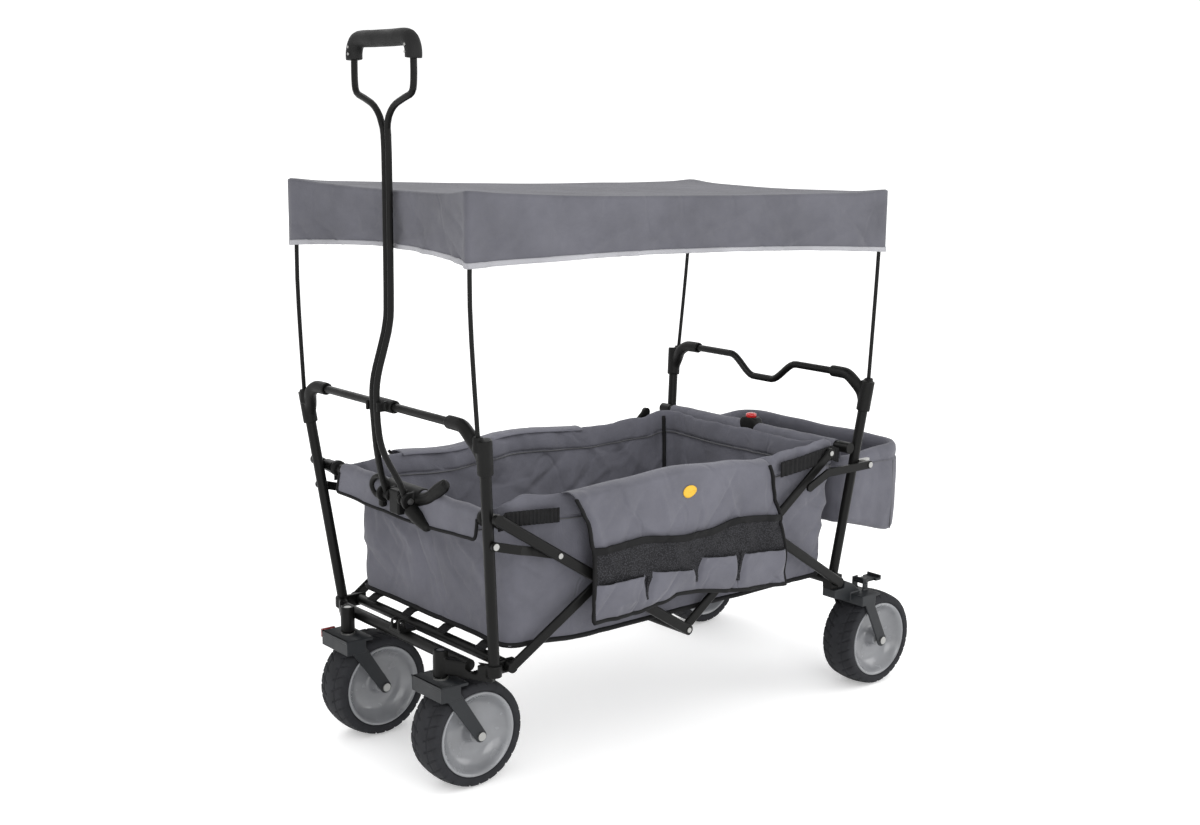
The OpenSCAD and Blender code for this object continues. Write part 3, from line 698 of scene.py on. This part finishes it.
def tub():
    outline = tub_outline()
    rings = [[tub_wall(ux, uy, length, t) for ux, uy, length in outline]
             for t in np.linspace(0, 1, 64)]
    walls = add_piece("tub_walls", *ring_shell(rings, 0.0016), "tub", "front_frame", "tub_cloth")
    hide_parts("tub_body")
    crumple(walls)

    def floor(u, v):
        x = TUB_FOOT[0] + 0.002 + u * (TUB_FOOT[1] - TUB_FOOT[0] - 0.004)
        y = (v * 2 - 1) * 0.239
        z = TUB_LOW.z + 0.0012 + floor_rise(x)
        return x, y, z + 0.0006 * wave(x * 20, y * 20, 0)
    crumple(add_piece("tub_floor", *thick_grid(floor, 60, 40, 0.0014), "inside",
                      "front_frame", "tub_cloth"))

    low = [tub_wall(ux * 1.004, uy * 1.004, length, 0.0) for ux, uy, length in outline]
    piping = cord_like("floor_piping", low, 0.0048, "binding", "front_frame", "webbing",
                       steps=1, sides=8, closed=True)
    crumple(piping)
    rim_band(outline)
    for side, s in SIDES.items():
        place = min(range(len(outline)),
                    key=lambda i: (outline[i][0] - 0.985) ** 2 + (outline[i][1] - 0.97 * s) ** 2)
        ux, uy, length = outline[place]
        line = [tub_wall(ux * 0.987, uy * 0.980, length, t) for t in np.linspace(0.03, 0.97, 12)]
        crumple(cord_like(f"corner_piping_{side}", line, 0.0040, "binding", "front_frame",
                          "webbing", 2, 8))


def rim_band(outline):
    """Padded hem round the rim, puckered along the seam below it."""
    height, thick, sides = 0.0225, 0.0046, 16
    rings = []
    for ux, uy, length in outline:
        top = Vector(tub_wall(ux, uy, length, 1.0))
        low = Vector(tub_wall(ux, uy, length, 0.82))
        out = Vector((*square_out(ux, uy), 0))
        down = (low - top).normalized()
        pucker = 0.6 * wave(length * 48, 0, 0, 5) + 0.7 * wave(length * 19, 0, 0, 9)
        ring = []
        for a, b in circle(1.0, sides):
            tuck = wave(length * 75, b * 0.8, 0, 19)
            fat = thick * (1 + 0.55 * pucker + 0.30 * tuck) * (1 - 0.22 * b)
            drop = height * (1 - b) + 0.0025 * pucker * (1 + b) - 0.002
            ring.append(top + down * drop + out * (a * abs(a) ** -0.3 * fat if a else 0))
        rings.append(ring)
    band = add_piece("rim_band", *stack(rings, closed=True), "tub", "front_frame", "tub_cloth")
    crumple(band)
    for name, inward in (("rim_seam_inside", 0.9905), ("rim_seam_outside", 1.0095)):
        seam = [tub_wall(ux * inward, uy * inward, length, 0.83) for ux, uy, length in outline]
        crumple(cord_like(name, seam, 0.0013, "seam", "front_frame", "tub_cloth",
                          steps=1, sides=6, closed=True))


def over_tube(u, tube, radius, start, low, flare):
    """Profile of cloth laid over a tube: up its inner side, over it and down to low."""
    x, z = tube
    s = 1 if start > x else -1
    up, over = 0.25, 0.60       # shares of the profile at which it reaches and leaves the tube
    if u < up:
        t = u / up
        return start + (x + s * radius - start) * t, z - 0.020 * (1 - t)
    if u < over:
        turn = math.pi * (u - up) / (over - up)
        return x + s * radius * math.cos(turn), z + radius * math.sin(turn)
    t = (u - over) / (1 - over)
    return x - s * (radius + flare * t * t), z + (low - z) * t


def end_flaps():
    def front(u, v):
        y = -0.236 + v * 0.450
        low = 0.474 - 0.009 * math.sin(math.pi * v) + 0.003 * wave(y * 9, 0, 0, 2)
        room = step(abs(y), 0.045, 0.09)
        x, z = over_tube(u, FRONT_TUBE, 0.0118, -0.5075, low, 0.004 * room)
        below = step(0.520 - z, 0, 0.03)
        ripple = 0.0030 * wave(y * 15, z * 12, 0, 4) * room * below
        ripple += 0.0030 * crease(y * 9 + z * 6, z * 4, 13) * room * below
        puff = 0.0022 * (1 + wave(y * 24, 0, 0, 10)) * step(z, 0.505, 0.520) * room
        return x - ripple, y, z + puff
    flap = add_piece("front_flap", *thick_grid(front, 56, 130, 0.0018), "tub",
                     "front_frame", "tub_cloth")
    edge = [front(u, 0.0) for u in (0.62, 0.72, 0.84, 0.94)]
    edge += [front(1.0, v) for v in np.linspace(0.01, 0.99, 40)]
    edge += [front(u, 1.0) for u in (0.94, 0.84, 0.72, 0.62)]
    edge = [(x - 0.0008, y, z) for x, y, z in edge]
    cord_like("front_flap_piping", edge, 0.0031, "binding", "front_frame", "webbing", 2, 8)

    def rear(u, v):
        y = (v * 2 - 1) * 0.246
        x, z = over_tube(u, REAR_TUBE, 0.0118, 0.3512, 0.494, 0.004)
        return x, y, z + 0.0022 * wave(y * 22, u * 4, 0, 6)
    flap = add_piece("rear_flap", *thick_grid(rear, 40, 110, 0.0018), "tub",
                     "rear_frame", "tub_cloth")


def mat_and_straps():
    low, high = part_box("floor_mat")

    def mat(u, v):
        x = low.x + 0.004 + u * (high.x - low.x - 0.008)
        y = (v * 2 - 1) * 0.232
        fold = 0.0015 * math.exp(-((u - 0.5) / 0.006) ** 2)
        return x, y, 0.265 + floor_rise(x) + 0.0006 * wave(x * 9, y * 9, 0) - fold
    piece = add_piece("mat", *thick_grid(mat, 70, 40, 0.007), "mat", "front_frame", "mat_cloth")
    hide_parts("floor_mat")
    crumple(piece)
    for k, y in enumerate((-0.18, -0.06, 0.06, 0.18)):
        def strap(u, v, y=y):
            x = -0.4935 + u * 0.866
            z = 0.2523 + floor_rise(x) - 0.010 * step(-x, 0.474, 0.494)
            return x, y + (v - 0.5) * 0.026, z
        piece = add_piece(f"floor_strap_{k + 1}", *thick_grid(strap, 60, 5, 0.0022), "webbing",
                          "front_frame", "webbing")
        if k == 0:
            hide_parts("floor_straps")
        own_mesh(piece)


# --- Side panels with pockets ----------------

# Pairs of height and x for its front and rear edge, and of x and height for the rest
PANEL_LEFT = [(0.28, -0.320), (0.35, -0.324), (0.43, -0.331), (0.486, -0.347), (0.545, -0.383)]
PANEL_RIGHT = [(0.28, 0.168), (0.356, 0.157), (0.423, 0.138), (0.472, 0.120), (0.530, 0.102)]
PANEL_LOW = [(-0.33, 0.296), (-0.217, 0.297), (-0.154, 0.305), (-0.125, 0.312),
             (-0.066, 0.307), (0.026, 0.291), (0.17, 0.279)]
BAND_TOP = [(-0.34, 0.438), (-0.221, 0.442), (-0.122, 0.430), (-0.056, 0.429),
            (0.025, 0.440), (0.14, 0.428)]
POCKETS = [(-0.324, -0.208, 0.367, 0.369), (-0.196, -0.077, 0.371, 0.353),
           (-0.066, 0.028, 0.373, 0.364), (0.044, 0.158, 0.362, 0.354)]


def piecewise(table, x):
    """Straight lines through (x, value) pairs, held level past both ends."""
    return float(np.interp(x, [a for a, _ in table], [b for _, b in table]))


def panel_face(x, z, s, off=0.0):
    """Point on the outside of a side panel at one x and height."""
    lean = 0.2885 + 0.0145 * step(z, 0.27, 0.52)
    sway = 0.0050 * wave(x * 11, z * 9, s, 12) + 0.0036 * wave(x * 21 + z * 14, z * 6, s, 31)
    sway += 0.0046 * crease(x * 8 + z * 10, z * 6 - x * 4, 61 + s, 0.30)
    sway -= 0.0036 * crease(x * 15 - z * 9, z * 5, 77 + s, 0.26)
    sway *= step(0.548 - z, 0.0, 0.05)
    return x, s * (lean + 0.002 + sway + off), z


def panel_x(u, z):
    left, right = piecewise(PANEL_LEFT, z), piecewise(PANEL_RIGHT, z)
    return left + u * (right - left)


def side_panel(side, s):
    body, slot = "front_frame", "tub_cloth"
    tag = f"_{side}"

    def main(u, v):
        roll = 0.20
        x_top = panel_x(u, 0.54)
        top = rim_height(x_top, s) - 0.004
        if v > roll:
            t = (v - roll) / (1 - roll)
            low = piecewise(PANEL_LOW, panel_x(u, 0.29))
            z = top + (low - top) * t
            return panel_face(panel_x(u, z), z, s)
        y_out = abs(panel_face(x_top, top, s)[1])
        y_in = curve_at(RIM_HALF, x_top) - 0.0055
        turn = math.pi * (1 - v / roll)
        mid, half = (y_out + y_in) / 2, (y_out - y_in) / 2
        lift = 0.011 if s < 0 else 0.007
        return panel_x(u, top), s * (mid + half * math.cos(turn)), top + lift * math.sin(turn)
    panel = add_piece("side_panel" + tag, *thick_grid(main, 140, 90, 0.0018), "tub", body, slot)
    crumple(panel)

    def sag(u):
        return 0.0035 * math.sin(math.pi * u) ** 0.5

    def band_z(u):
        return piecewise(BAND_TOP, panel_x(u, 0.435)) + 0.0015 * wave(u * 9, 0, s, 44)

    def net(u, v):
        low = piecewise(PANEL_LOW, panel_x(u, 0.29)) + 0.02
        z = band_z(u) - 0.004 + (low - band_z(u) + 0.004) * v
        gather = 0.0016 * wave(u * 34, v * 1.5, s, 71) * (1 - v)
        return panel_face(panel_x(0.004 + 0.992 * u, z), z, s, 0.0028 + sag(u) + gather)
    crumple(add_piece("pocket_net" + tag, *thick_grid(net, 120, 30, 0.0014), "mesh", body,
                      "webbing"))

    def band(u, v):
        z = band_z(u) - v * 0.013
        return panel_face(panel_x(u, z), z, s, 0.0044 + sag(u))
    crumple(add_piece("pocket_band" + tag, *thick_grid(band, 120, 6, 0.0028), "binding", body,
                      "webbing"))

    for k, (x0, x1, z0, z1) in enumerate(POCKETS):
        def pocket(u, v, x0=x0, x1=x1, z0=z0, z1=z1):
            narrow = 0.010 * (1 - v) ** 2
            x = x0 - 0.008 + narrow + u * (x1 - x0 + 0.016 - 2 * narrow)
            top, low = z0 + (z1 - z0) * u, piecewise(PANEL_LOW, x) + 0.004
            top += 0.0012 * wave(u * 6, k, s, 83)
            x = x if k < 3 else min(x, panel_x(1.0, top + (low - top) * v))
            x = x if k > 0 else max(x, panel_x(0.0, top + (low - top) * v))
            edge = min(u, 1 - u) * 9
            puff = step(edge, 0, 1) * (0.0085 * (1 - v) ** 1.5 + 0.004 * math.sin(math.pi * v))
            return panel_face(x, top + (low - top) * v, s, 0.0048 + puff)
        crumple(add_piece(f"pocket_{k + 1}{tag}", *thick_grid(pocket, 48, 30, 0.0018), "tub",
                          body, slot))
        if k < 3 and k != 1:
            edge = (x1 + POCKETS[k + 1][0]) / 2
            line = [panel_face(edge - 0.004 * t, z0 - 0.004 - 0.040 * t, s, 0.0065)
                    for t in np.linspace(0, 1, 8)]
            size = np.linspace(0.0052, 0.0008, 22)
            pleat = sweep(spline(line, 3), lambda i: circle(size[min(i, 21)], 8, 0.5))
            crumple(add_piece(f"pleat_{k + 1}{tag}", *pleat, "mesh", body, "webbing"))

    def edge(u, x):
        low, top = piecewise(PANEL_LOW, x), rim_height(panel_x(u, 0.54), s) - 0.001
        return [panel_face(panel_x(u, z), z, s, 0.003) for z in np.linspace(low, top, 22)]
    lines = {
        "front": edge(0.0, -0.32),
        "rear": edge(1.0, 0.168),
        "low": [panel_face(x, piecewise(PANEL_LOW, x), s, 0.003)
                for x in np.linspace(-0.321, 0.168, 40)],
    }
    for name, line in lines.items():
        deep = 0.9 if name == "low" else 0.6
        piping = sweep(spline(line, 3), lambda i, d=deep: circle(0.0050, 10, d))
        crumple(add_piece(f"panel_piping_{name}{tag}", *piping, "binding", body, "webbing"))


def side_panels():
    for side, s in SIDES.items():
        side_panel(side, s)
    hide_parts("side_panels")

    def badge(u, v):
        turn, r = 2 * math.pi * u, v
        x = -0.104 + 0.017 * r * math.cos(turn)
        z = 0.508 + 0.012 * r * math.sin(turn)
        return panel_face(x, z, -1, 0.0022)
    crumple(add_piece("badge", *thick_grid(badge, 33, 5, 0.0012), "badge", "front_frame",
                      "webbing"))


def elastic(name, x0, x1, z0, z1, s, body, height=0.026):
    """Ribbed elastic strap on the tub's side, between a post and the panel."""
    def strap(u, v):
        x = x0 + (x1 - x0) * u
        middle = min(z0 + (z1 - z0) * u, rim_height(x, s) - 0.004 - height / 2)
        z = middle + (v - 0.5) * height
        rib = 0.0009 * math.sin(u * 2 * math.pi * 14)
        return x, s * (curve_at(RIM_HALF, x) + 0.0125 + rib), z
    add_piece(name, *thick_grid(strap, 150, 8, 0.0026), "webbing", body, "webbing")


def elastics():
    for side, s in SIDES.items():
        elastic(f"front_elastic_{side}", -0.516, -0.388, 0.511, 0.503, s, "front_frame")
        elastic(f"rear_elastic_{side}", 0.162, 0.345, 0.508, 0.521, s, "rear_frame", 0.030)


# --- Rear bag --------------------------------

def bag_outline(count=180):
    """Plan of the bag: straight in front, round at its rear corners."""
    x0, x1, half, r0, r1 = 0.3795, 0.6030, 0.2395, 0.018, 0.062
    corners = [(x1 - r1, half - r1, r1, 0), (x0 + r0, half - r0, r0, 90),
               (x0 + r0, r0 - half, r0, 180), (x1 - r1, r1 - half, r1, 270)]
    dense = []
    for cx, cy, r, first in corners:
        for k in range(16):
            a = math.radians(first + 90 * k / 15)
            dense.append((cx + r * math.cos(a), cy + r * math.sin(a)))
    return list(zip(*even_loop(np.array(dense), count)))


def bag():
    outline = bag_outline()
    cx, cy = 0.485, 0.0

    def ring(inset, height, bulge=0.0):
        points = []
        for x, y, length in outline:
            d = Vector((x - cx, y - cy))
            low = 0.354 - 0.046 * step(x, 0.38, 0.59)
            top = 0.492 + 0.0035 * wave(x * 11, y * 11, 0, 7) + 0.008 * step(x, 0.42, 0.56)
            fold = 0.0035 * wave(length * 16, height * 2.2, 0, 11)
            fold += 0.0022 * wave(length * 38, height * 3, 0, 17)
            out = bulge * (0.004 + fold) - inset
            dx, dy = level_step((d.x / 0.112) ** 9, (d.y / 0.24) ** 9, out)
            points.append((x + dx, y + dy, low + (top - low) * height))
        return points

    def cap(inset_share, height):
        return [(cx + (x - cx) * inset_share, cy + (y - cy) * inset_share, z)
                for x, y, z in ring(0.012, height)]
    wall = [(0.010, 0.0, 0), (0.004, 0.02, 0.2), (0.0008, 0.06, 0.5)]
    wall += [(0.0, h, math.sin(math.pi * h) ** 0.5) for h in np.linspace(0.1, 0.84, 22)]
    rim = [(0.0015, 0.86, 0.3), (-0.0015, 0.88, 0), (-0.0025, 0.93, 0), (-0.001, 0.985, 0),
           (0.004, 1.02, 0), (0.010, 1.03, 0), (0.0155, 1.01, 0), (0.018, 0.96, 0),
           (0.0175, 0.90, 0), (0.014, 0.86, 0)]
    inner = [(0.012, h, -0.2) for h in np.linspace(0.82, 0.12, 14)] + [(0.014, 0.08, 0)]
    rings = [cap(k, 0.0) for k in (0.02, 0.3, 0.6, 0.85)]
    rings += [ring(*w) for w in wall + rim + inner]
    rings += [cap(k, 0.07) for k in (0.9, 0.6, 0.3, 0.02)]
    piece = add_piece("rear_bag_shell", *stack(rings), "tub", "rear_frame", "tub_cloth")
    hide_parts("rear_bag")
    seam = ring(0.0, 0.845, 0.3)
    cord_like("bag_seam", seam, 0.0011, "inside", "rear_frame", "tub_cloth", 1, 6, closed=True)
    for side, s in SIDES.items():
        line = [min(ring(-0.001, h, 0.6), key=lambda p: math.dist(p[:2], (0.552, 0.24 * s)))
                for h in np.linspace(0.03, 0.84, 14)]
        cord_like(f"bag_side_seam_{side}", line, 0.0013, "inside", "rear_frame", "tub_cloth", 2, 6)


# --- Canopy ----------------------------------

CANOPY_LOW, CANOPY_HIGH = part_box("canopy_cover")
CANOPY_SAG = 0.052
SKIRT = 0.120


def canopy_outline(count=320):
    """Plan of the canopy, with a hollow front edge and small round corners."""
    x0, x1, half = CANOPY_LOW.x - 0.003, CANOPY_HIGH.x + 0.002, CANOPY_HIGH.y + 0.0025
    points = []
    steps = np.linspace(0, 1, 200)
    for t in steps:
        y = half - 2 * half * t
        points.append((x0 + CANOPY_SAG * (1 - (y / half) ** 2), y))
    points += [(x0 + (x1 - x0) * t, -half) for t in steps[1:]]
    points += [(x1, -half + 2 * half * t) for t in steps[1:]]
    points += [(x1 + (x0 - x1) * t, half) for t in steps[1:-1]]
    dense = np.array(points)
    for _ in range(4):
        dense = (np.roll(dense, 1, 0) + 2 * dense + np.roll(dense, -1, 0)) / 4
    return list(zip(*even_loop(dense, count)))


def canopy_level(x):
    """The cover's height without its sag: it falls a little towards the rear."""
    return 1.064 - 0.0205 * (x - CANOPY_LOW.x)


def canopy_top(x, y):
    """Height of the cover: it is lifted by the four poles and sags between them."""
    x0, x1, half = CANOPY_LOW.x, CANOPY_HIGH.x, CANOPY_HIGH.y
    u, w = (x - x0) / (x1 - x0), abs(y) / half
    edge = 4 * u * (1 - u)
    sag = 0.006 * edge * w ** 4 + 0.012 * edge * (1 - w ** 2) + 0.005 * (1 - w ** 2)
    near = min(math.hypot(x - a, abs(y) - half) for a in (x0, x1))
    bump = 0.004 * math.exp(-(near / 0.05) ** 2)
    return canopy_level(x) - sag + bump + 0.0014 * wave(x * 7, y * 7, 0, 14)


def canopy():
    outline = canopy_outline()
    cx = (CANOPY_LOW.x + CANOPY_HIGH.x) / 2
    rings = []
    for share in (0.001, 0.02, 0.05, 0.1, 0.15, 0.2, 0.3, 0.4, 0.5, 0.6, 0.7, 0.8, 0.88, 0.94,
                  0.975, 0.992):
        rings.append([(cx + (x - cx) * share, y * share,
                       canopy_top(cx + (x - cx) * share, y * share)) for x, y, _ in outline])

    def skirt_point(x, y, length, t, off=0.0):
        half = CANOPY_HIGH.y
        u = (x - CANOPY_LOW.x) / (CANOPY_HIGH.x - CANOPY_LOW.x)
        w = abs(y) / half
        arch = 0.013 * (4 * u * (1 - u) if w > 0.97 else 1 - w ** 2)
        top = canopy_top(x, y) - 0.0025
        low = canopy_level(x) - SKIRT + arch
        corner = step(w, 0.9, 1) * max(step(u, 0.93, 1), step(1 - u, 0.93, 1))
        loose = math.sin(math.pi * min(t, 1) * 0.55) * (1 - 0.9 * corner)
        fold = 0.0040 * wave(length * 9, t * 1.2, 0, 2) + 0.0026 * wave(length * 23, t * 1.6, 0, 6)
        fold += 0.0030 * wave(length * 6 + t * 1.7, length * 2 - t * 2.4, 0, 25)
        fold += 0.0052 * crease(length * 8 + t * 1.6, t * 0.9 - length * 2, 33, 0.3)
        fold -= 0.0042 * crease(length * 14 - t * 1.9, t * 0.8, 37, 0.3)
        inward = -0.003 * math.sin(math.pi * t) * (1 - corner) + (fold - 0.001) * loose + off
        nx = 1.0 if u > 0.985 else (-1.0 if w < 0.985 and u < 0.2 else 0.0)
        ny = (1.0 if y > 0 else -1.0) if w > 0.96 else 0.0
        dx, dy = level_step(nx, ny, inward)
        return x + dx, y + dy, top + (low - top) * t
    for t in np.linspace(0, 1, 24):
        rings.append([skirt_point(x, y, length, t) for x, y, length in outline])
    cover = add_piece("canopy_cloth", *ring_shell(rings, 0.0014), "canopy", "canopy",
                      "canopy_cloth")
    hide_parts("canopy_cover")
    hem_rings = [[skirt_point(x, y, length, t, 0.0009) for x, y, length in outline]
                 for t in (0.925, 0.95, 0.975, 1.004)]
    hem = add_piece("canopy_hem", *ring_shell(hem_rings, 0.0022), "hem", "canopy",
                    "canopy_cloth")
    for piece in (cover, hem):
        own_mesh(piece)


# --- Stage -----------------------------------

def camera():
    """Fitted eye: 3.2 m away at 40 degrees from the front, 11 degrees above the horizon."""
    yaw, pitch, roll = math.radians(-40.16), math.radians(10.75), math.radians(0.57)
    data = bpy.data.cameras.new("camera")
    data.lens = 47.11
    data.sensor_width = 36.0
    data.clip_end = 200
    eye = link("camera", data)
    forward = Vector((-math.sin(yaw) * math.cos(pitch), math.cos(yaw) * math.cos(pitch),
                      -math.sin(pitch)))
    right = Vector((math.cos(yaw), math.sin(yaw), 0))
    up = right.cross(forward)
    across = right * math.cos(roll) + up * math.sin(roll)
    top = up * math.cos(roll) - right * math.sin(roll)
    turn = Matrix((across, top, -forward)).transposed()
    eye.matrix_world = Matrix.Translation((-2.0504, -2.3524, 1.1903)) @ turn.to_4x4()
    bpy.context.scene.camera = eye


def stage():
    size = 60
    mesh = bpy.data.meshes.new("floor")
    mesh.from_pydata([(-size, -size, 0), (size, -size, 0), (size, size, 0), (-size, size, 0)],
                     [], [(0, 1, 2, 3)])
    floor = link("floor", mesh)
    paint = Shader("studio_floor", (0.94, 0.94, 0.94), 0.95, Specular_IOR_Level=0.0)
    paint.bsdf.inputs["Emission Color"].default_value = (1, 1, 1, 1)
    paint.bsdf.inputs["Emission Strength"].default_value = 0.28
    mesh.materials.append(paint.material)
    world = bpy.data.worlds.new("studio")
    world.use_nodes = True
    sky = world.node_tree.nodes["Background"].inputs
    sky["Color"].default_value = (1, 1, 1, 1)
    sky["Strength"].default_value = 1.1
    bpy.context.scene.world = world
    bpy.context.scene.view_settings.view_transform = "Standard"
    for name, place, aim, size, watts in (
            ("key", (-1.4, -4.0, 2.1), (0, 0, 0.45), 2.2, 53),
            ("front", (-2.3, -2.0, 1.25), (0.15, 0.1, 0.45), 1.4, 9.5),
            ("under_canopy", (-0.05, 0, 0.93), (-0.05, 0.02, 0.3), 0.42, 2.3),
            ("fill", (3.4, -2.6, 2.0), (0.1, 0, 0.5), 2.2, 36),
            ("back", (0.5, 3.4, 3.0), (0, 0, 0.6), 2.4, 24)):
        data = bpy.data.lights.new(name, "AREA")
        data.size = size
        data.energy = watts
        light = link(name, data)
        light.location = place
        light.rotation_euler = (Vector(aim) - Vector(place)).to_track_quat("-Z", "Y").to_euler()
        light.visible_camera = False


camera()
stage()
dress_cad_nodes()
cast_pieces()
for end, (hub_x, hub_y) in (("front", CASTER), ("rear", REAR_WHEEL)):
    for wheel_side, sign in SIDES.items():
        wheel(end, wheel_side, (hub_x, sign * hub_y, WHEEL_RADIUS))
forks()
tub()
end_flaps()
mat_and_straps()
side_panels()
elastics()
bag()
canopy()
